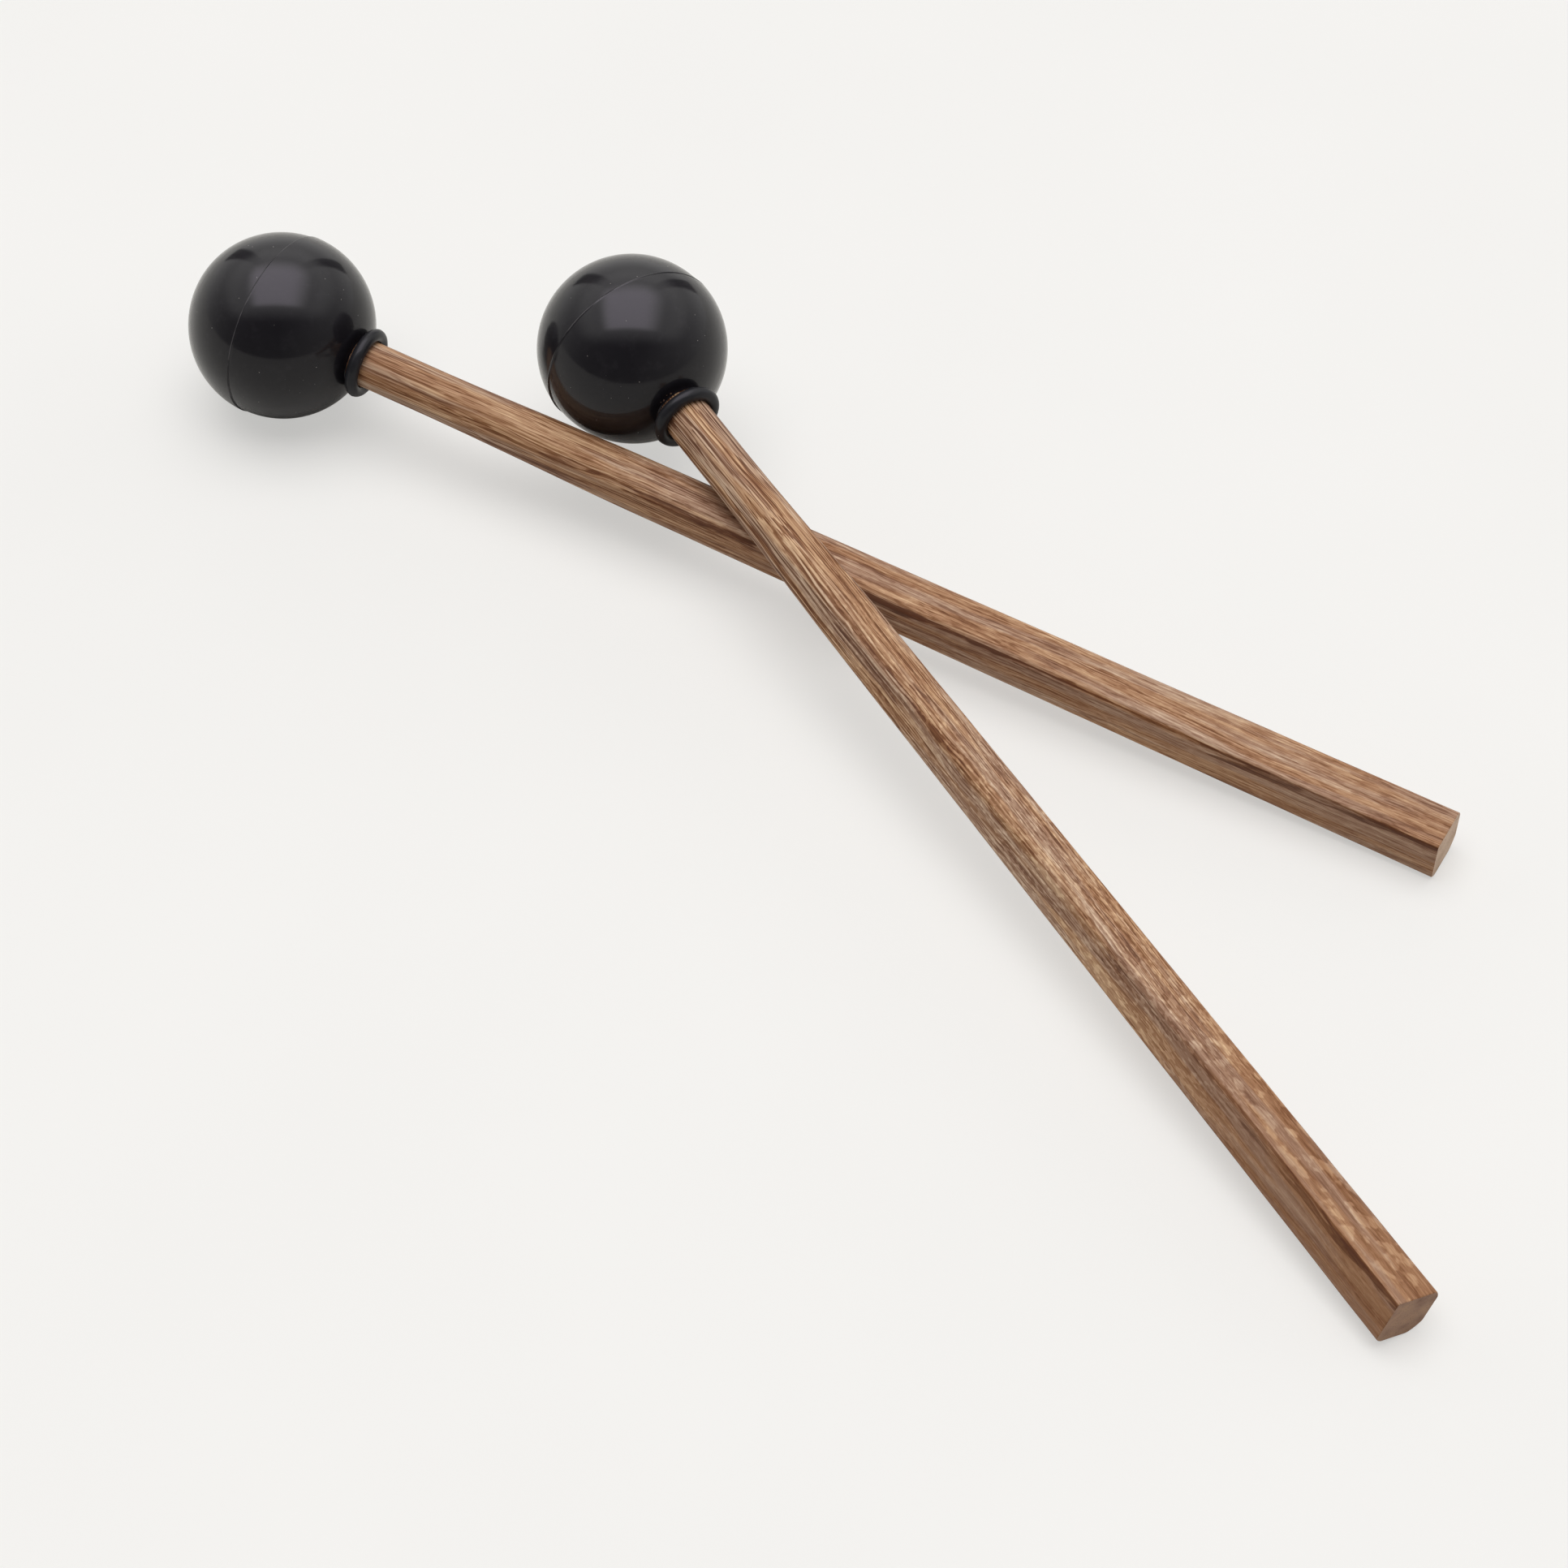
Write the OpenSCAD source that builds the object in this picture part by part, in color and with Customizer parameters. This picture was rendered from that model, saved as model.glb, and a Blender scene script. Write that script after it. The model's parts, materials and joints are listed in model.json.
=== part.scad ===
// A crossed pair of ball-headed percussion mallets, at rest on a flat surface.
//
// Each mallet is a hardwood stick, a moulded rubber ball, a rubber stop ring that
// grips the neck just behind the ball, and the set adhesive that bonds the stick
// into the ball.
// The stick is turned round at the neck and swells towards the butt. Two flat faces
// meet in a ridge that grows crisper towards the butt, and the other two faces are
// left mostly round.
//
// Frame: millimetres, +Z up, the resting surface is z = 0. The lower mallet lies
// along X with its butt towards +X. The origin is the centre of the bottom of the
// box around the pair.
//
// A mallet is drawn in its own frame first: its axis is X, the centre of its ball
// is the origin, and its butt is at x = reach.

/* [Ball head] */
// Diameter of the rubber ball
ball_d = 25; // [20:0.5:30]
// How far the moulding line sits behind the middle of the ball
seam_back = 0.4; // [0:0.1:1]
// How far the moulding line stands proud of the ball
seam_h = 0.1; // [0.05:0.01:0.2]

/* [Stick] */
// Distance from the centre of the ball to the butt
reach = 169.3; // [150:0.1:190]
// Diameter of the turned neck
neck_d = 6.24; // [6:0.02:6.28]
// From the axis to each of the two flat faces
flat_r = 3.15; // [3.15:0.05:3.3]
// From the axis to each of the two faces that are left mostly round
round_r = 3.8; // [3.6:0.1:4]
// Width over the corners at the butt
butt_over_corners = 8.7; // [8.2:0.1:9]
// Where the neck begins to swell, from the centre of the ball
swell_from = 24; // [18:1:30]
// Length over which the neck swells
swell_len = 32; // [20:1:40]
// How much of the growth in radius happens over the swell
swell_r = 0.32; // [0.2:0.02:0.4]

/* [Bond and stop ring] */
// How far the stick reaches past the centre of the ball
tenon_past = 4; // [0:0.5:6]
// Chamfer on the hidden end of the stick
tenon_chamfer = 0.5; // [0.2:0.1:1]
// Thickness of the adhesive around the stick
bond_t = 0.13; // [0.1:0.01:0.2]
// Depth of the adhesive pooled under the end of the stick
bond_pool = 1; // [0.5:0.1:2]
// Thickness of the rubber stop ring
ring_t = 1.78; // [1.6:0.02:2]
// How far the ring is squeezed where it grips the neck
ring_squeeze = 0.12; // [0.04:0.02:0.2]
// Room between the lower ball and its ring
lower_ring_gap = 0.35; // [0.1:0.05:1.2]
// Room between the upper ball and its ring
upper_ring_gap = 0.9; // [0.1:0.05:1.2]

/* [Resting pose] */
// Angle between the two sticks, seen from above
cross_angle = 28.7; // [27:0.1:31]
// From the centre of the lower ball to the crossing
lower_cross = 71.7; // [70:0.1:74]
// From the centre of the upper ball to the crossing
upper_cross = 29.8; // [29.5:0.1:31]
// How far the lower mallet is rolled about its own axis
lower_roll = 4.4; // [0:0.2:8]
// How far the upper mallet is rolled about its own axis
upper_roll = -19.2; // [-25:0.2:-10]
// Room under the upper stick at the middle of the crossing; it bears a little nearer its butt
rest_gap = 0.24; // [0.24:0.01:0.4]

/* [Hidden] */
$fn = 96;
swell_steps = 12;
ball_r = ball_d / 2;
neck_r = neck_d / 2;
butt_r = butt_over_corners / 2;
body_slope = (butt_r - neck_r - swell_r) / (reach - swell_from);
bond_r = neck_r + bond_t;
ring_r = neck_r + ring_t / 2 - ring_squeeze;
seam_bead = 0.15;

// Heights and tilts: each mallet rests on its butt, and the lower one on its ball too
lower_z = ball_r + seam_h;
lower_butt_z = rolled(round_r, lower_roll);
lower_tilt = asin(lower_z / norm([reach, lower_butt_z])) - atan(lower_butt_z / reach);
lower_top_z = lower_z - lower_cross * tan(lower_tilt) + flat_r / cos(lower_tilt);
upper_butt_z = rolled(round_r, upper_roll);
upper_cross_z = lower_top_z + swollen(upper_cross) + rest_gap;
upper_tilt = asin((upper_cross_z - upper_butt_z) / (reach - upper_cross));
upper_z = upper_cross_z + upper_cross * tan(upper_tilt);

// Plan positions, first with the crossing at x = 0 and then centred on the box
upper_ball_x = -upper_cross * cos(cross_angle);
upper_ball_y = upper_cross * sin(cross_angle);
upper_run = reach * cos(upper_tilt) - upper_cross;
box_x0 = -lower_cross - ball_r;
box_x1 = upper_run * cos(cross_angle) + upper_butt_z * sin(cross_angle);
box_y0 = -upper_run * sin(cross_angle) - rolled(flat_r, upper_roll) * cos(cross_angle);
box_y1 = upper_ball_y + ball_r;
origin_x = -(box_x0 + box_x1) / 2;
origin_y = -(box_y0 + box_y1) / 2;

// Radius of the turned outline at x: a straight taper with a smooth swell on it
function swollen(x) =
    neck_r + body_slope * max(0, x - swell_from) + swell_r * eased((x - swell_from) / swell_len);

// Goes smoothly from 0 to 1 as u goes from 0 to 1
function eased(u) = (1 - cos(180 * min(1, max(0, u)))) / 2;

// How far the butt reaches from its axis on the side of a face at r, once it is rolled
function rolled(r, roll) = butt_r * cos(max(0, acos(r / butt_r) - abs(roll)));

// Where along the neck the ring sits, to leave a gap behind the ball
function ring_x(gap) = sqrt(pow(ball_r + gap + ring_t / 2, 2) - pow(ring_r, 2));

// Turns a drawing about the mallet's own axis
module turned() {
    rotate([0, 90, 0]) rotate_extrude() rotate(90) mirror([0, 1]) children();
}

// The round envelope of the stick, from the hidden end to the butt
module stick_outline() {
    swell = [for (i = [0 : swell_steps]) swell_from + swell_len * i / swell_steps];
    turned() polygon(concat(
        [[-tenon_past, 0], [-tenon_past, neck_r - tenon_chamfer]],
        [[tenon_chamfer - tenon_past, neck_r]],
        [for (x = swell) [x, swollen(x)]],
        [[reach, butt_r], [reach, 0]]
    ));
}

// The blank that the stick is shaped from, its flat faces on top and in front
module stick_blank() {
    length = reach + tenon_past + 2;
    side = flat_r + round_r;
    translate([reach - length, -flat_r, -round_r]) cube([length, side, side]);
}

module handle() {
    color("sienna") intersection() {
        stick_outline();
        stick_blank();
    }
}

// The hole moulded into the ball, down to the bottom of the adhesive
module socket_outline() {
    translate([-tenon_past - bond_pool, -bond_r]) square([ball_d, 2 * bond_r]);
}

// The ball with its raised moulding line, drawn from the axis outwards
module head() {
    color([0.13, 0.13, 0.14]) turned() difference() {
        intersection() {
            union() {
                circle(r = ball_r);
                translate([-seam_back, ball_r + seam_h - seam_bead]) circle(r = seam_bead);
            }
            translate([-ball_d, 0]) square([2 * ball_d, ball_d]);
        }
        socket_outline();
    }
}

// The stop ring, squeezed flat where it grips the neck
module collar(gap) {
    color([0.17, 0.17, 0.18]) turned() difference() {
        translate([ring_x(gap), ring_r]) circle(d = ring_t);
        square([ball_d, neck_r]);
    }
}

// The adhesive fills the socket around the stick and under its end
module adhesive() {
    mouth = sqrt(pow(ball_r, 2) - pow(bond_r, 2));
    color("peru") turned() polygon([
        [-tenon_past - bond_pool, 0], [-tenon_past - bond_pool, bond_r],
        [mouth, bond_r], [mouth, neck_r],
        [tenon_chamfer - tenon_past, neck_r], [-tenon_past, neck_r - tenon_chamfer],
        [-tenon_past, 0]
    ]);
}

// Lays a mallet with its ball at p, its butt heading towards yaw and down by tilt
module laid(p, yaw, tilt, roll) {
    translate([origin_x, origin_y, 0]) translate(p) rotate([0, tilt, yaw]) rotate([roll, 0, 0])
        children();
}

module lower() {
    laid([-lower_cross, 0, lower_z], 0, lower_tilt, lower_roll) children();
}

module upper() {
    laid([upper_ball_x, upper_ball_y, upper_z], -cross_angle, upper_tilt, upper_roll) children();
}

module lower_head() { lower() head(); }
module lower_handle() { lower() handle(); }
module lower_collar() { lower() collar(lower_ring_gap); }
module lower_adhesive() { lower() adhesive(); }
module upper_head() { upper() head(); }
module upper_handle() { upper() handle(); }
module upper_collar() { upper() collar(upper_ring_gap); }
module upper_adhesive() { upper() adhesive(); }

lower_head();
lower_handle();
lower_collar();
lower_adhesive();
upper_head();
upper_handle();
upper_collar();
upper_adhesive();
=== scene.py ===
"""The looks of a crossed pair of ball-headed percussion mallets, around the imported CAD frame.

Each mallet is drawn in its own frame, in millimetres: X runs from the centre of the ball to
the butt, and the stick's flat faces look along -Y and +Z. place() then lays it in the CAD
frame, in metres, where the record's mount on its butt says.
"""

import json
import math

import bmesh
import bpy
import numpy as np
from mathutils import Matrix, Vector, noise


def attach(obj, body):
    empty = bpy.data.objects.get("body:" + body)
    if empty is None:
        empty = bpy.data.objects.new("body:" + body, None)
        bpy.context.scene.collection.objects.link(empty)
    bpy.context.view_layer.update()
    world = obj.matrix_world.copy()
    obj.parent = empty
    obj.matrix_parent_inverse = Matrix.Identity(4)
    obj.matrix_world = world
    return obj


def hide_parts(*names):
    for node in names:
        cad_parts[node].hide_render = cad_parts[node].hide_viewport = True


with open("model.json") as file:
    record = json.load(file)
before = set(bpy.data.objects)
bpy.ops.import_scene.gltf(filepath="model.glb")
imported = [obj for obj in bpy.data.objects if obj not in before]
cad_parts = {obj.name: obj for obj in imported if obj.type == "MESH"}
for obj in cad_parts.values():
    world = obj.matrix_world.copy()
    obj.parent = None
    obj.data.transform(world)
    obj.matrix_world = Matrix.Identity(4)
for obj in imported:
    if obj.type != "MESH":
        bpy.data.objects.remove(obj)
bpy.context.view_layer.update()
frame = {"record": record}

MM = 0.001

# The ball, its moulding line and its socket
BALL_R = 12.5
SEAM_X = -0.4
SEAM_H = 0.09
SEAM_W = 0.09
HALVES_APART = 0.07
SLIP_Y, SLIP_Z = 0.76, 0.65
GROOVE_H = 0.11
BALL_UNEVEN = 0.0022
SOCKET_R = 3.25
SOCKET_END = -5.0
MOUTH_ROUND = 0.12

# The stick
REACH = 169.3
TENON_END = -4.0
TENON_CHAMFER = 0.5
NECK_R = 3.12
FLAT_R = 3.15
ROUND_R = 3.8
BUTT_R = 4.35
SWELL_FROM, SWELL_LEN, SWELL_R = 24.0, 32.0, 0.32
BUTT_CHAMFER = 0.07
CRISPNESS = 90
STICK_WAVE = 0.02
SAW_MARKS = 0.012
LOWER_ROLL, UPPER_ROLL = math.radians(4.4), math.radians(-19.2)

# The stop ring
RING_T = 1.78
RING_SQUEEZE = 0.12
RING_R = NECK_R + RING_T / 2 - RING_SQUEEZE
RING_UNEVEN = 0.012

# The camera
VIEW_AZIMUTH, VIEW_ELEVATION, VIEW_ROLL = math.radians(28.61), math.radians(48.12), math.radians(0.88)
VIEW_DISTANCE = 0.5606
VIEW_TARGET = Vector((0.00077, -0.00661, 0.0))
SENSOR, LENS = 36.0, 103.3


# ---------------------------------------------------------------- meshes


def place(mount_name, roll):
    """The matrix from a mallet's own frame, in millimetres, to the CAD frame, in metres."""
    mount = next(m for m in frame["record"]["mounts"] if m["name"] == mount_name)
    axis = Vector(mount["axis"]).normalized()
    ball = Vector(mount["pos_m"]) - axis * REACH * MM
    yaw = Matrix.Rotation(math.atan2(axis.y, axis.x), 4, "Z")
    tilt = Matrix.Rotation(-math.asin(axis.z), 4, "Y")
    return Matrix.Translation(ball) @ yaw @ tilt @ Matrix.Rotation(roll, 4, "X") @ Matrix.Scale(MM, 4)


def rough(point, scale, seed):
    """Smooth noise from -1 to 1 at a point, in features a millimetre."""
    return noise.noise(Vector(point) * scale + Vector((seed * 17.3, seed * 5.1, seed * 9.7)))


def piece(name, points, faces, laid, materials, face_material=None, sharp=()):
    """A smooth mesh object in the CAD frame, whose attribute own_mm keeps each point's own place."""
    mesh = bpy.data.meshes.new(name)
    mesh.from_pydata([laid @ Vector(p) for p in points], [], faces)
    own = mesh.attributes.new("own_mm", "FLOAT_VECTOR", "POINT")
    own.data.foreach_set("vector", np.asarray(points, np.float32).ravel())
    for material in materials:
        mesh.materials.append(material)
    if face_material is not None:
        mesh.polygons.foreach_set("material_index", face_material)
    bm = bmesh.new()
    bm.from_mesh(mesh)
    bmesh.ops.recalc_face_normals(bm, faces=bm.faces)
    corners = set(sharp)
    for edge in bm.edges:
        edge.smooth = not all(v.index in corners for v in edge.verts)
    bm.to_mesh(mesh)
    bm.free()
    mesh.polygons.foreach_set("use_smooth", [True] * len(mesh.polygons))
    obj = bpy.data.objects.new(name, mesh)
    bpy.context.scene.collection.objects.link(obj)
    return obj


def tube_faces(rows, columns, first=0, loop=False):
    """Quads over a grid of points whose columns go round, and whose rows too if it is a loop."""
    faces = []
    for i in range(rows if loop else rows - 1):
        a, b = first + i * columns, first + (i + 1) % rows * columns
        for j in range(columns):
            k = (j + 1) % columns
            faces.append((a + j, a + k, b + k, b + j))
    return faces


def turned(outline, columns, shift):
    """Points and faces of an outline of (x, r) turned about X. It starts and ends on the axis.

    shift(x, r, angle) gives each point, so that a turned piece can be uneven."""
    angles = [2 * math.pi * j / columns for j in range(columns)]
    points = [shift(x, r, a) for x, r in outline[1:-1] for a in angles]
    rows = len(outline) - 2
    faces = tube_faces(rows, columns)
    start, end = len(points), len(points) + 1
    points += [(outline[0][0], 0, 0), (outline[-1][0], 0, 0)]
    last = (rows - 1) * columns
    for j in range(columns):
        k = (j + 1) % columns
        faces.append((start, k, j))
        faces.append((end, last + j, last + k))
    return points, faces


def at(x, r, angle):
    return (x, r * math.cos(angle), r * math.sin(angle))


# ---------------------------------------------------------------- the ball


def ball_outline():
    """From the far pole over the moulding line to the mouth, then down the socket to its end."""
    mouth = math.pi - math.asin((SOCKET_R + MOUTH_ROUND) / BALL_R)
    seam = math.acos(-SEAM_X / BALL_R)
    near_seam = np.linspace(-4 * SEAM_W, 4 * SEAM_W, 33) / BALL_R + seam
    turns = np.unique(np.concatenate([np.linspace(0, mouth, 150), near_seam]))
    outline = [(-BALL_R * math.cos(t), BALL_R * math.sin(t)) for t in turns]
    edge_x = -BALL_R * math.cos(mouth) - MOUTH_ROUND
    outline += [(edge_x + MOUTH_ROUND * math.cos(t), SOCKET_R + MOUTH_ROUND - MOUTH_ROUND * math.sin(t))
                for t in np.linspace(0.3, math.pi / 2, 5)]
    outline += [(x, SOCKET_R) for x in np.linspace(edge_x - 0.5, SOCKET_END, 12)]
    return outline + [(SOCKET_END, SOCKET_R / 2), (SOCKET_END, 0)]


def make_ball(name, laid, material, seed, flash, parted_at):
    """A rubber ball moulded in two halves that don't quite meet, with a little flash between."""

    def shift(x, r, angle):
        point = at(x, r, angle)
        if math.hypot(x, r) < BALL_R - 0.01:
            return point
        uneven = 1 + BALL_UNEVEN * rough(point, 0.12, seed) - BALL_UNEVEN
        proud = flash * max(0, 1 + 1.2 * rough(at(0, BALL_R, angle), 0.2, seed + 1))
        ridge = SEAM_H * proud * math.exp(-((x - SEAM_X) / SEAM_W) ** 2)
        parted = max(0, math.cos(angle - math.radians(parted_at))) ** 2
        groove = GROOVE_H * parted * math.exp(-((x - SEAM_X - 0.15) / SEAM_W) ** 2)
        side = HALVES_APART * math.tanh((x - SEAM_X) / (0.35 * SEAM_W))
        grown = uneven * (1 - HALVES_APART / BALL_R) + (ridge - groove) / BALL_R
        x, y, z = (c * grown for c in point)
        return (x, y + side * SLIP_Y, z + side * SLIP_Z)

    points, faces = turned(ball_outline(), 256, shift)
    return piece(name, points, faces, laid, [material])


# ---------------------------------------------------------------- the stick


def eased(u):
    return (1 - math.cos(math.pi * min(1, max(0, u)))) / 2


def swollen(x):
    """Radius of the stick's turned outline: a straight taper with a smooth swell on it."""
    slope = (BUTT_R - NECK_R - SWELL_R) / (REACH - SWELL_FROM)
    return NECK_R + slope * max(0, x - SWELL_FROM) + SWELL_R * eased((x - SWELL_FROM) / SWELL_LEN)


def section(x, angle):
    """Radius of the stick at an angle from +Y towards +Z: its faces cut into the turned outline."""
    limits = [swollen(x)]
    for normal, distance in ((90, FLAT_R), (180, FLAT_R), (270, ROUND_R), (0, ROUND_R)):
        lean = math.cos(angle - math.radians(normal))
        if lean > 0.1:
            limits.append(distance / lean)
    return sum(limit**-CRISPNESS for limit in limits) ** (-1 / CRISPNESS)


def make_stick(name, laid, wood, end_grain, seed):
    """The stick, from its chamfered hidden end to the sawn butt, with a slight waviness."""
    columns = 144
    angles = [2 * math.pi * j / columns for j in range(columns)]
    rows = [(TENON_END, -TENON_CHAMFER), (TENON_END + TENON_CHAMFER, 0)]
    rows += [(x, 0) for x in np.arange(TENON_END + 2, REACH - 0.6, 0.5)]
    rows += [(REACH - BUTT_CHAMFER * 3, 0), (REACH - BUTT_CHAMFER, 0), (REACH, -BUTT_CHAMFER)]
    points = []
    for x, inset in rows:
        for angle in angles:
            plain = section(x, angle) + inset
            wave = STICK_WAVE * (rough((x * 0.12, math.cos(angle), math.sin(angle)), 1.1, seed) - 1)
            points.append(at(x, plain + wave * min(1, max(0, x / SWELL_FROM - 0.5)), angle))
    faces = tube_faces(len(rows), columns)
    face_material = [0] * len(faces)
    rim = (len(rows) - 1) * columns
    for end, first in ((TENON_END, 0), (REACH, rim)):
        edge = [points[first + j] for j in range(columns)]
        before = first
        for shrink in (0.92, 0.75, 0.5, 0.25):
            ring = len(points)
            for _, y, z in edge:
                saw = SAW_MARKS * (rough((0, y * shrink, z * shrink), 1.4, seed + 3) - 1)
                points.append((end + saw, y * shrink, z * shrink))
            for j in range(columns):
                k = (j + 1) % columns
                faces.append((before + j, before + k, ring + k, ring + j))
            before = ring
        points.append((end - 0.01, 0, 0))
        faces += [(len(points) - 1, before + j, before + (j + 1) % columns) for j in range(columns)]
        face_material += [1] * (len(faces) - len(face_material))
    sharp = [*range(columns), *range(rim, rim + columns)]
    return piece(name, points, faces, laid, [wood, end_grain], face_material, sharp)


# ---------------------------------------------------------------- the stop ring and the adhesive


def make_ring(name, laid, material, seed, gap, lean):
    """The stop ring, pressed flat on the neck and leaning a little, with a faint moulding line."""
    columns, rows = 128, 48
    middle = math.sqrt((BALL_R + gap + RING_T / 2) ** 2 - RING_R**2)
    points = []
    for i in range(rows):
        turn = 2 * math.pi * i / rows
        for j in range(columns):
            angle = 2 * math.pi * j / columns
            uneven = RING_UNEVEN * (rough(at(0, RING_R, angle), 0.5, seed) - 1)
            line = 0.02 * math.exp(-((math.sin(turn / 2 - math.pi / 4)) / 0.05) ** 2)
            size = RING_T / 2 - RING_UNEVEN + uneven + line
            leant = lean * math.cos(angle - math.radians(135))
            r = max(RING_R + size * math.sin(turn), NECK_R)
            points.append(at(middle + leant + size * math.cos(turn), r, angle))
    return piece(name, points, tube_faces(rows, columns, loop=True), laid, [material])


def make_adhesive(name, laid, material, seed, squeezed_out):
    """The bond around the tenon, with a shallow uneven meniscus, and crumbs of it at the mouth."""
    mouth = math.sqrt(BALL_R**2 - SOCKET_R**2) - MOUTH_ROUND
    outline = [(SOCKET_END, 0), (SOCKET_END, SOCKET_R / 2)]
    outline += [(x, SOCKET_R) for x in np.linspace(SOCKET_END, mouth - 0.15, 16)]
    outline += [(mouth, (SOCKET_R + NECK_R) / 2 + 0.03), (mouth - 0.1, NECK_R)]
    outline += [(x, NECK_R) for x in np.linspace(mouth - 1, TENON_END + TENON_CHAMFER, 10)]
    outline += [(TENON_END, NECK_R - TENON_CHAMFER), (TENON_END, 0)]

    def shift(x, r, angle):
        end = x > mouth - 0.5
        return at(x - (0.06 * (1 + rough(at(0, 3, angle), 1.1, seed)) if end else 0), r, angle)

    points, faces = turned(outline, 72, shift)
    for index, (turn, radius, size) in enumerate(squeezed_out):
        centre = Vector(at(math.sqrt(BALL_R**2 - radius**2), radius, math.radians(turn)))
        bm = bmesh.new()
        bmesh.ops.create_icosphere(bm, subdivisions=3, radius=size)
        first = len(points)
        for v in bm.verts:
            lump = 1 + 0.5 * rough(v.co, 9, seed + index)
            points.append(tuple(centre + Vector((v.co.x * 0.6, v.co.y, v.co.z)) * lump))
        faces += [tuple(first + v.index for v in f.verts) for f in bm.faces]
        bm.free()
    return piece(name, points, faces, laid, [material])


# ---------------------------------------------------------------- materials


class Nodes:
    """Short calls for building a node tree."""

    def __init__(self, tree):
        self.tree = tree
        tree.nodes.clear()

    def put(self, socket, value):
        """Links the socket to another socket, or sets it to a value."""
        if isinstance(value, bpy.types.NodeSocket):
            self.tree.links.new(value, socket)
        else:
            socket.default_value = value

    def add(self, kind, **inputs):
        """A node, with its inputs put by name (spaces as _) or by number (i0, i1 and so on)."""
        node = self.tree.nodes.new(kind)
        for key, value in inputs.items():
            by_number = key[0] == "i" and key[1:].isdigit()
            self.put(node.inputs[int(key[1:]) if by_number else key.replace("_", " ")], value)
        return node

    def math(self, operation, a, b=0.0, clamp=False):
        node = self.add("ShaderNodeMath", i0=a, i1=b)
        node.operation, node.use_clamp = operation, clamp
        return node.outputs[0]

    def plus(self, a, b):
        return self.math("ADD", a, b)

    def minus(self, a, b):
        return self.math("SUBTRACT", a, b)

    def times(self, a, b):
        return self.math("MULTIPLY", a, b)

    def vector(self, operation, a, b=(0, 0, 0)):
        node = self.add("ShaderNodeVectorMath", i0=a, i1=b)
        node.operation = operation
        return node.outputs["Value" if operation in ("LENGTH", "DOT_PRODUCT") else "Vector"]

    def stretched(self, point, scale, turn=(0, 0, 0), shift=(0, 0, 0)):
        """The point moved, turned and scaled, for a texture that is stretched one way."""
        node = self.add("ShaderNodeMapping", Vector=point, Location=shift, Rotation=turn, Scale=scale)
        node.vector_type = "POINT"
        return node.outputs[0]

    def noise(self, point, scale=1.0, detail=2.0, roughness=0.5):
        node = self.add("ShaderNodeTexNoise", Vector=point, Scale=scale, Detail=detail,
                        Roughness=roughness)
        return node.outputs["Fac"]

    def between(self, value, low, high, to_low=0.0, to_high=1.0):
        """The value taken smoothly from low..high to to_low..to_high, and held there outside."""
        node = self.add("ShaderNodeMapRange", Value=value, From_Min=low, From_Max=high,
                        To_Min=to_low, To_Max=to_high)
        node.interpolation_type = "SMOOTHSTEP"
        return node.outputs[0]

    def curve(self, value, stops):
        """A strength that goes from stop to stop, (place, strength), as the value grows."""
        strength = stops[0][1]
        for (low, before), (high, after) in zip(stops, stops[1:]):
            strength = self.plus(strength, self.between(value, low, high, 0.0, after - before))
        return strength

    def mix(self, share, a, b):
        """Colour a going to colour b as the share goes from 0 to 1."""
        node = self.tree.nodes.new("ShaderNodeMix")
        node.data_type = "RGBA"
        for number, value in ((0, share), (6, a), (7, b)):
            self.put(node.inputs[number], value)
        return node.outputs[2]

    def ramp(self, value, stops):
        """A colour ramp through (place, sRGB colour) stops."""
        node = self.add("ShaderNodeValToRGB", Fac=value)
        elements = node.color_ramp.elements
        while len(elements) > 1:
            elements.remove(elements[-1])
        elements[0].position, elements[0].color = stops[0][0], srgb(*stops[0][1])
        for spot, colour in stops[1:]:
            elements.new(spot).color = srgb(*colour)
        return node.outputs["Color"]


def srgb(r, g, b):
    """A colour given as 0 to 255 on a screen, as Blender's linear RGBA."""
    linear = [(c / 255 / 12.92) if c <= 10 else ((c / 255 + 0.055) / 1.055) ** 2.4 for c in (r, g, b)]
    return (*linear, 1.0)


def material_nodes(name):
    """A new material, its nodes, its shader and the piece's own place in millimetres."""
    material = bpy.data.materials.new(name)
    material.use_nodes = True
    nodes = Nodes(material.node_tree)
    shader = nodes.add("ShaderNodeBsdfPrincipled")
    out = nodes.add("ShaderNodeOutputMaterial")
    nodes.tree.links.new(shader.outputs[0], out.inputs["Surface"])
    own = nodes.add("ShaderNodeAttribute")
    own.attribute_name = "own_mm"
    return material, nodes, shader, own.outputs["Vector"]


def link(nodes, shader, **inputs):
    for key, value in inputs.items():
        nodes.tree.links.new(value, shader.inputs[key.replace("_", " ")])


def bump(nodes, height, depth_mm, strength=1.0):
    node = nodes.add("ShaderNodeBump", Height=height, Strength=strength, Distance=depth_mm * MM)
    return node.outputs[0]


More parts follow.
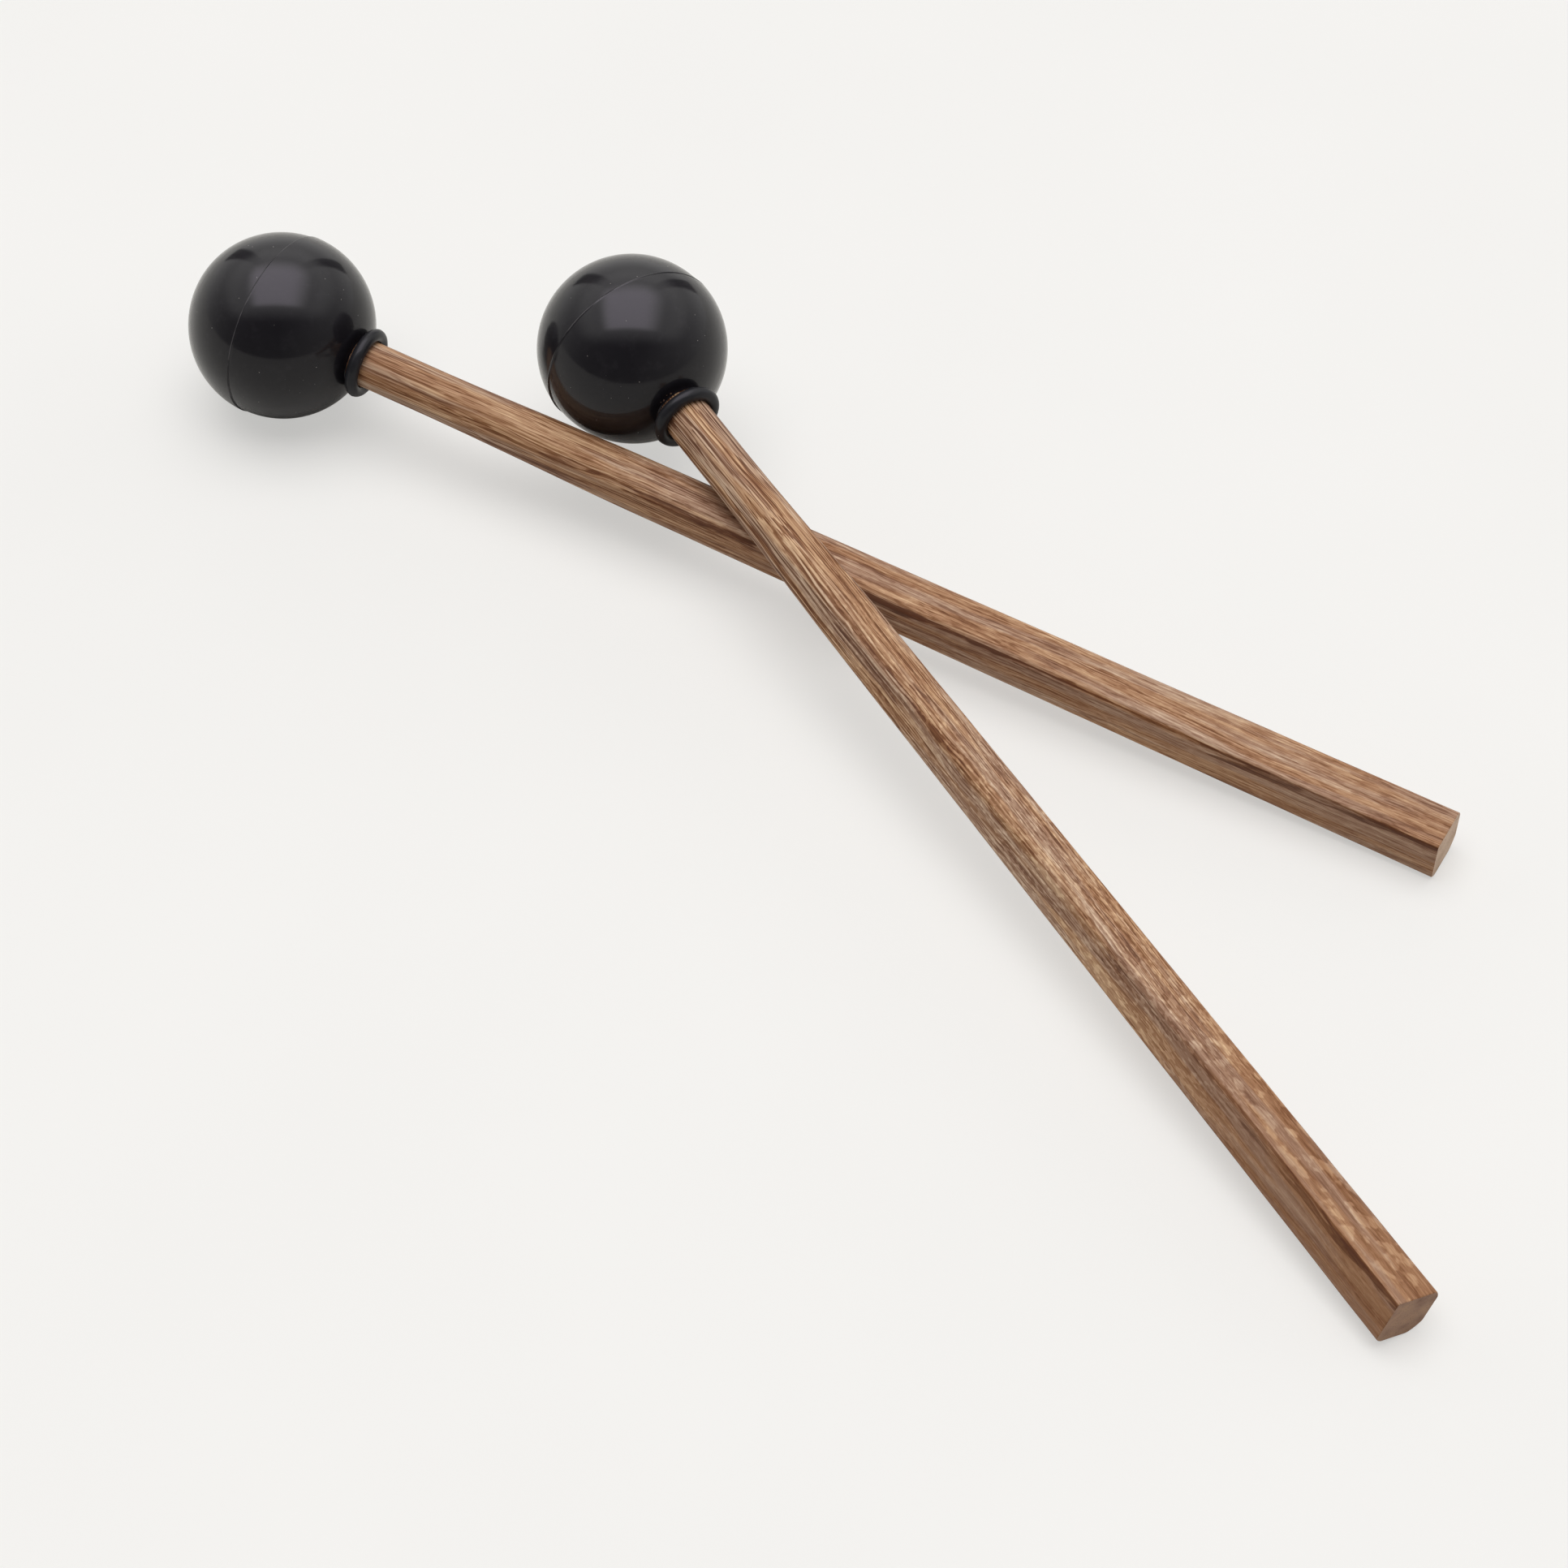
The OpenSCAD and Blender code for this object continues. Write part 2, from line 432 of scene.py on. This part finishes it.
def rubber(name, colour, roughness, seed, polish=0.0):
    """Moulded black rubber: a haze under a sharper polish, faint handling marks and a little dust."""
    material, nodes, shader, own = material_nodes(name)
    along = nodes.add("ShaderNodeSeparateXYZ", Vector=own).outputs[0]
    from_seam = nodes.math("ABSOLUTE", nodes.minus(along, SEAM_X))
    own = nodes.vector("ADD", own, (seed * 31.0, seed * 13.0, seed * 7.0))
    cloud = nodes.noise(own, 0.22, 3)
    # A pale patchy line along the moulding line
    pale_seam_streak = nodes.times(nodes.between(from_seam, 0.02, 0.09, 0.2, 0.0),
                         nodes.between(cloud, 0.45, 0.6))
    grain = nodes.noise(own, 9.0, 2)
    worn = nodes.between(nodes.noise(own, 0.6, 4, 0.6), 0.5, 0.75)
    dusty = nodes.add("ShaderNodeTexVoronoi", Vector=own, Scale=0.85, Randomness=1.0)
    speck = nodes.between(dusty.outputs["Distance"], 0.03, 0.06, 1, 0)
    lot = nodes.add("ShaderNodeSeparateColor", Color=dusty.outputs["Color"]).outputs[0]
    kept = nodes.between(lot, 0.35, 0.4)
    speck = nodes.times(nodes.times(speck, kept), 0.75)
    dark = tuple(c * 0.75 for c in colour[:3]) + (1,)
    base = nodes.mix(cloud, dark, colour)
    base = nodes.mix(nodes.times(worn, 0.12), base, srgb(62, 59, 64))
    base = nodes.mix(pale_seam_streak, base, srgb(150, 146, 150))
    base = nodes.mix(speck, base, srgb(190, 186, 180))
    sheen = nodes.plus(nodes.between(cloud, 0.3, 0.7, roughness, roughness + 0.05),
                       nodes.times(worn, 0.06))
    link(nodes, shader, Base_Color=base, Roughness=sheen,
         Normal=bump(nodes, nodes.plus(nodes.times(grain, 0.4), speck), 0.012, 0.5))
    shader.inputs["Specular IOR Level"].default_value = 0.08
    shader.inputs["Coat Weight"].default_value = polish
    shader.inputs["Coat Roughness"].default_value = 0.11
    shader.inputs["Coat IOR"].default_value = 1.31
    return material


def wood(name, seed, layer_normal, layer_gain, shade, fibrous, front_painted_shading,
         veins, flames, flecks, blotches, ridge_dark, ridge_pale_and_painted_light):
    """Dark streaked hardwood: growth layers, fine vessels, pale flecks and a dark vein at the ridge.

    The shade and all after it are strengths, as stops along the stick, (millimetres, strength)."""
    material, nodes, shader, own = material_nodes(name)
    own_parts = nodes.add("ShaderNodeSeparateXYZ", Vector=own).outputs
    along = own_parts[0]
    moved = nodes.stretched(own, (1, 1, 1), shift=(seed * 211.0, seed * 3.7, seed * -2.9))

    # The grain wanders slowly across the stick, and ripples a little
    point = moved
    for scale, reach in (((0.022, 0.13, 0.13), 2.6), ((0.13, 0.35, 0.35), 0.5)):
        wander = nodes.add("ShaderNodeTexNoise", Vector=nodes.stretched(moved, scale), Scale=1.0,
                           Detail=1.0)
        step = nodes.vector("SUBTRACT", wander.outputs["Color"], (0.5, 0.5, 0.5))
        point = nodes.vector("ADD", point, nodes.vector("MULTIPLY", step, (0, reach, reach)))

    def layered(per_mm, per_mm_along, detail):
        """Noise that runs in sheets along the grain, so that every face shows long lines."""
        depth = nodes.vector("DOT_PRODUCT", point, layer_normal)
        sheet = nodes.add("ShaderNodeCombineXYZ", X=nodes.times(along, per_mm_along),
                          Y=nodes.times(depth, per_mm), Z=seed * 5.0)
        return nodes.noise(sheet.outputs[0], 1.0, detail, 0.6)

    layers = layered(0.8, 0.012, 2)
    lines = nodes.noise(nodes.stretched(point, (0.055, 4.0, 4.0), shift=(2, 5, 7)), 1.0, 0)
    leaning = nodes.stretched(moved, (0.22, 1.3, 1.3), turn=(0, -0.3, 0), shift=(5, 2, 3))
    flame = nodes.noise(leaning, 1.0, 2)
    fibres = nodes.noise(nodes.stretched(point, (0.1, 5.0, 5.0)), 1.0, 2, 0.6)
    vessels = nodes.noise(nodes.stretched(point, (0.32, 6.5, 6.5), shift=(9, 4, 2)), 1.0, 1)
    pale = nodes.noise(nodes.stretched(point, (0.9, 3.2, 3.2), shift=(4, 7, 1)), 1.0, 1)
    blotch = nodes.noise(nodes.stretched(point, (0.42, 0.62, 0.62), shift=(6, 1, 8)), 1.0, 2)
    band = nodes.noise(nodes.stretched(point, (0.03, 0.5, 0.5), shift=(3, 8, 5)), 1.0, 2)
    from_ridge = nodes.plus(own_parts[1], own_parts[2])
    on_top = nodes.between(from_ridge, 0.0, 0.9)

    def varied(value, low, high, stops, where=1.0):
        """What a pattern adds to the tone, by how far along the stick and where round it is."""
        strength = nodes.times(nodes.between(value, low, high), nodes.curve(along, stops))
        return nodes.times(strength, where)

    tone = nodes.plus(nodes.times(nodes.minus(layers, 0.5), layer_gain),
                      nodes.times(nodes.minus(fibres, 0.5), nodes.curve(along, fibrous)))
    tone = nodes.minus(tone, varied(lines, 0.49, 0.55, veins))
    by_ridge = nodes.between(from_ridge, -3.2, -0.3, 0, 1)
    tone = nodes.minus(tone, varied(flame, 0.5, 0.58, flames, by_ridge))
    tone = nodes.plus(tone, varied(pale, 0.5, 0.6, flecks))
    tone = nodes.plus(tone, varied(blotch, 0.53, 0.63, blotches, on_top))
    pits = nodes.times(nodes.between(vessels, 0.36, 0.44, 0.15, 0), nodes.curve(along, fibrous))
    tone = nodes.minus(tone, pits)
    # Painted shade on the front face: a positive strength darkens it, and a negative strength gives it
    # painted light
    front_shading_paint = nodes.between(from_ridge, -0.6, 0.2, nodes.curve(along, front_painted_shading), 0.0)
    tone = nodes.minus(tone, front_shading_paint)

    # The ridge: a dark vein just below it, ragged on its lower side, and a pale line above it, which is
    # partly painted light brightening the top face beside the ridge
    lower_edge = nodes.between(layered(0.9, 0.06, 2), 0.42, 0.64, -0.25, -1.7)
    below = nodes.times(nodes.between(from_ridge, -0.12, 0.02, 1, 0),
                        nodes.between(nodes.minus(from_ridge, lower_edge), -0.3, 0.1))
    pale_and_lit_band = nodes.times(nodes.between(from_ridge, -0.02, 0.12),
                        nodes.between(from_ridge, 0.8, 2.2, 1, 0))
    tone = nodes.minus(tone, nodes.times(below, nodes.curve(along, ridge_dark)))
    tone = nodes.plus(tone, nodes.times(pale_and_lit_band, nodes.curve(along, ridge_pale_and_painted_light)))
    tone = nodes.math("ADD", tone, nodes.plus(nodes.curve(along, shade), 0.55), clamp=True)

    warm = nodes.ramp(tone, [(0.0, (92, 50, 24)), (0.25, (126, 82, 50)), (0.5, (164, 120, 86)),
                             (0.75, (192, 152, 116)), (1.0, (222, 188, 150))])
    grey = nodes.ramp(tone, [(0.0, (94, 60, 42)), (0.25, (128, 91, 69)), (0.5, (160, 125, 102)),
                             (0.75, (186, 156, 132)), (1.0, (216, 190, 166))])
    colour = nodes.mix(nodes.between(band, 0.42, 0.6, 0.0, 0.85), warm, grey)
    height = nodes.minus(nodes.times(fibres, 0.5), nodes.between(vessels, 0.36, 0.44, 0.5, 0))
    link(nodes, shader, Base_Color=colour, Roughness=nodes.between(tone, 0.2, 0.8, 0.62, 0.5),
         Normal=bump(nodes, height, 0.04, 0.5))
    shader.inputs["Specular IOR Level"].default_value = 0.25
    return material


def end_grain(name, seed, colours):
    """The sawn butt: growth layers end on, open pores and faint saw marks."""
    material, nodes, shader, own = material_nodes(name)
    point = nodes.stretched(own, (0.05, 1, 1), turn=(0.3 * seed, 0, 0),
                            shift=(0, seed * 3.7, seed * -2.9))
    depth = nodes.vector("LENGTH", nodes.vector("SUBTRACT", point, (0, 9.0, -7.0)))
    layer = nodes.add("ShaderNodeCombineXYZ", X=depth)
    lines = nodes.noise(layer.outputs[0], 1.5, 3)
    blotch = nodes.noise(point, 0.45, 2)
    pores = nodes.noise(point, 5.5, 1)
    saw = nodes.noise(nodes.stretched(own, (1, 0.4, 6.0)), 1.0, 2)
    tone = nodes.plus(nodes.times(lines, 0.35), nodes.times(blotch, 0.65))
    colour = nodes.ramp(tone, [(0.3, colours[0]), (0.5, colours[1]), (0.7, colours[2])])
    colour = nodes.mix(nodes.between(pores, 0.3, 0.42, 0.4, 0.0), colour, srgb(84, 62, 50))
    height = nodes.plus(nodes.times(pores, 0.5), nodes.times(saw, 0.5))
    link(nodes, shader, Base_Color=colour, Roughness=nodes.between(tone, 0.3, 0.7, 0.85, 0.75),
         Normal=bump(nodes, height, 0.05, 0.5))
    return material


def adhesive(name):
    """Set amber-brown adhesive, a little cloudy."""
    material, nodes, shader, own = material_nodes(name)
    cloud = nodes.noise(own, 1.7, 3)
    link(nodes, shader, Base_Color=nodes.ramp(cloud, [(0.3, (66, 48, 36)), (0.7, (112, 84, 62))]),
         Roughness=nodes.between(cloud, 0.3, 0.7, 0.35, 0.6),
         Normal=bump(nodes, nodes.noise(own, 5.0, 2), 0.05, 0.6))
    return material


def floor_material():
    """Matt off-white paper, faintly mottled. The camera sees it glow a little, so shadows are pale."""
    material, nodes, shader, _ = material_nodes("studio_paper")
    spot = nodes.add("ShaderNodeTexCoord").outputs["Object"]
    cloud = nodes.noise(spot, 14.0, 3)
    seen = nodes.add("ShaderNodeLightPath").outputs["Is Camera Ray"]
    paper = nodes.ramp(cloud, [(0.3, (173, 172, 171)), (0.7, (176, 175, 174))])
    link(nodes, shader, Base_Color=nodes.mix(seen, srgb(232, 231, 227), paper),
         Emission_Strength=nodes.times(seen, 0.495),
         Normal=bump(nodes, nodes.noise(spot, 900.0, 2), 0.02, 0.3))
    shader.inputs["Roughness"].default_value = 0.8
    shader.inputs["Specular IOR Level"].default_value = 0.1
    shader.inputs["Emission Color"].default_value = (1.0, 0.995, 0.97, 1.0)
    return material


# ---------------------------------------------------------------- studio


def make_camera():
    data = bpy.data.cameras.new("view")
    data.sensor_width, data.lens = SENSOR, LENS
    data.clip_start, data.clip_end = 0.01, 20
    camera = bpy.data.objects.new("view", data)
    back = Vector((math.sin(VIEW_AZIMUTH) * math.cos(VIEW_ELEVATION),
                   -math.cos(VIEW_AZIMUTH) * math.cos(VIEW_ELEVATION), math.sin(VIEW_ELEVATION)))
    turn = (Matrix.Rotation(VIEW_AZIMUTH, 4, "Z") @ Matrix.Rotation(math.pi / 2 - VIEW_ELEVATION, 4, "X")
            @ Matrix.Rotation(VIEW_ROLL, 4, "Z"))
    camera.matrix_world = Matrix.Translation(VIEW_TARGET + back * VIEW_DISTANCE) @ turn
    bpy.context.scene.collection.objects.link(camera)
    bpy.context.scene.camera = camera


def make_floor():
    half = 5.0
    corners = [(-half, -half, 0), (half, -half, 0), (half, half, 0), (-half, half, 0)]
    mesh = bpy.data.meshes.new("studio_floor")
    mesh.from_pydata(corners, [], [(0, 1, 2, 3)])
    mesh.materials.append(floor_material())
    floor = bpy.data.objects.new("studio_floor", mesh)
    bpy.context.scene.collection.objects.link(floor)


def make_room():
    """The studio around the pair: pale walls, a softbox overhead, and a dark side near the viewer."""
    world = bpy.data.worlds.new("studio_room")
    bpy.context.scene.world = world
    world.use_nodes = True
    nodes = Nodes(world.node_tree)
    direction = nodes.add("ShaderNodeTexCoord").outputs["Generated"]
    facing = nodes.stretched(direction, (1, 1, 1), turn=(0, 0, -VIEW_AZIMUTH))
    parts = nodes.add("ShaderNodeSeparateXYZ", Vector=facing).outputs
    right, far, up = parts[0], parts[1], parts[2]
    over = nodes.math("MAXIMUM", up, 0.05)
    across, along = nodes.math("DIVIDE", right, over), nodes.math("DIVIDE", far, over)

    # Walls: brightest on the far side and on the right, dark where the photographer stands
    wall = nodes.between(far, -0.7, 0.8, 0.15, 0.85)
    wall = nodes.plus(wall, nodes.between(right, -0.2, 1.0, 0.0, 0.25))
    low = nodes.between(up, 0.4, 0.85, 1.0, 0.12)
    room = nodes.times(wall, low)

    # Two dark uprights on the far side
    bearing = nodes.math("DIVIDE", right, nodes.math("MAXIMUM", far, 0.05))
    for side in (-0.58, 0.64):
        gap = nodes.math("ABSOLUTE", nodes.minus(bearing, side))
        post = nodes.between(gap, 0.1, 0.15, 0.0, 1.0)
        room = nodes.times(room, post)

    # The softbox overhead, and a bright ceiling that only reflections see
    width = nodes.times(nodes.between(across, -0.78, -0.42, 0, 1),
                        nodes.between(across, 0.22, 0.8, 1, 0))
    near = nodes.between(along, -0.5, -0.36, 0, 1)
    end = nodes.between(along, 0.35, 0.9, 1, 0)
    box = nodes.times(nodes.times(width, near), end)
    mirrored = nodes.add("ShaderNodeLightPath").outputs["Is Glossy Ray"]
    ceiling = nodes.times(nodes.between(up, 0.35, 0.7, 0, 1.2),
                          nodes.between(along, -1.0, -0.3, 0, 1))
    room = nodes.plus(room, nodes.times(ceiling, mirrored))
    light = nodes.plus(room, nodes.times(box, nodes.between(mirrored, 0, 1, 2.75, 2.9)))
    tint = nodes.mix(nodes.times(box, mirrored), (1.0, 0.99, 0.975, 1), (1.0, 0.93, 1.04, 1))
    background = nodes.add("ShaderNodeBackground", Color=tint, Strength=light)
    out = nodes.add("ShaderNodeOutputWorld")
    nodes.tree.links.new(background.outputs[0], out.inputs["Surface"])


# ---------------------------------------------------------------- putting it together

make_camera()
make_floor()
make_room()
bpy.context.scene.view_settings.view_transform = "Standard"

ball_rubber = rubber("ball_rubber", srgb(25, 23, 28), 0.4, 1, polish=1.0)
ring_rubber = rubber("ring_rubber", srgb(36, 36, 40), 0.4, 2, polish=0.5)
set_adhesive = adhesive("set_adhesive")

# What sets the two mallets apart. The seam is (flash, degrees round to where the halves part most);
# each crumb of squeezed-out adhesive is (degrees round, distance from the axis, radius)
MALLETS = {
    "lower": {
        "seed": 1, "roll": LOWER_ROLL, "ring_gap": 0.35, "ring_lean": 0.2, "seam": (0.2, 215),
        "wood": {
            "layer_normal": (-0.05, -0.62, 0.78), "layer_gain": 0.95,
            "shade": ((15, 0.04), (50, 0.03)),
            "fibrous": ((15, 1.3), (150, 0.95)),
            # Painted shade on the front face, growing from the head
            "front_painted_shading": ((20, 0.0), (60, 0.04)),
            "veins": ((15, 0.26), (60, 0.24), (100, 0.16), (150, 0.1)),
            "flames": ((40, 0.0), (70, 0.16)),
            "flecks": ((15, 0.0), (70, 0.08)),
            "blotches": ((15, 0.0), (60, 0.06)),
            "ridge_dark": ((18, 0.15), (70, 0.45), (110, 0.45), (150, 0.33)),
            # Partly painted light on the top face beside the ridge
            "ridge_pale_and_painted_light": ((18, 0.1), (60, 0.0), (90, 0.08), (150, 0.03)),
        },
        "sawn": ((184, 155, 131), (201, 173, 150), (211, 187, 165)),
        "squeezed_out": (),
    },
    "upper": {
        "seed": 2, "roll": UPPER_ROLL, "ring_gap": 0.9, "ring_lean": 0.0, "seam": (0.6, 40),
        "wood": {
            "layer_normal": (-0.04, -0.72, 0.7), "layer_gain": 0.7,
            "shade": ((15, 0.08), (100, 0.06), (145, -0.12)),
            "fibrous": ((15, 1.4), (100, 1.1), (150, 0.35)),
            # Painted light on the front face, fading out towards the butt
            "front_painted_shading": ((60, -0.06), (100, -0.09), (165, 0.0)),
            "veins": ((15, 0.56), (45, 0.48), (90, 0.28), (150, 0.05)),
            "flames": ((50, 0.0), (90, 0.1)),
            "flecks": ((30, 0.0), (60, 0.16), (95, 0.26), (120, 0.24), (150, 0.06)),
            "blotches": ((60, 0.0), (90, 0.2), (150, 0.25)),
            "ridge_dark": ((50, 0.0), (90, 0.14), (145, 0.16), (162, 0.28)),
            # Partly painted light on the top face beside the ridge
            "ridge_pale_and_painted_light": ((18, 0.28), (50, 0.12), (100, 0.2), (150, 0.1)),
        },
        "sawn": ((128, 95, 77), (157, 123, 101), (172, 135, 104)),
        "squeezed_out": ((132, 3.7, 0.13), (140, 3.9, 0.08), (152, 3.65, 0.12), (158, 3.8, 0.07)),
    },
}
for mallet, its in MALLETS.items():
    laid, seed = place(mallet + "_butt_face", its["roll"]), its["seed"]
    grain = wood(mallet + "_wood", seed, **its["wood"])
    sawn = end_grain(mallet + "_end_grain", seed, its["sawn"])
    ring = make_ring(mallet + "_stop_ring", laid, ring_rubber, seed, its["ring_gap"], its["ring_lean"])
    bond = make_adhesive(mallet + "_bond", laid, set_adhesive, seed, its["squeezed_out"])
    made = {
        "head": (make_ball(mallet + "_ball", laid, ball_rubber, seed, *its["seam"]), "ball_rubber"),
        "handle": (make_stick(mallet + "_stick", laid, grain, sawn, seed), "stick_wood"),
        "collar": (ring, "ring_rubber"),
        "adhesive": (bond, "set_adhesive"),
    }
    for node, (obj, slot) in made.items():
        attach(obj, mallet + "_mallet")
        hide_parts(mallet + "_" + node)
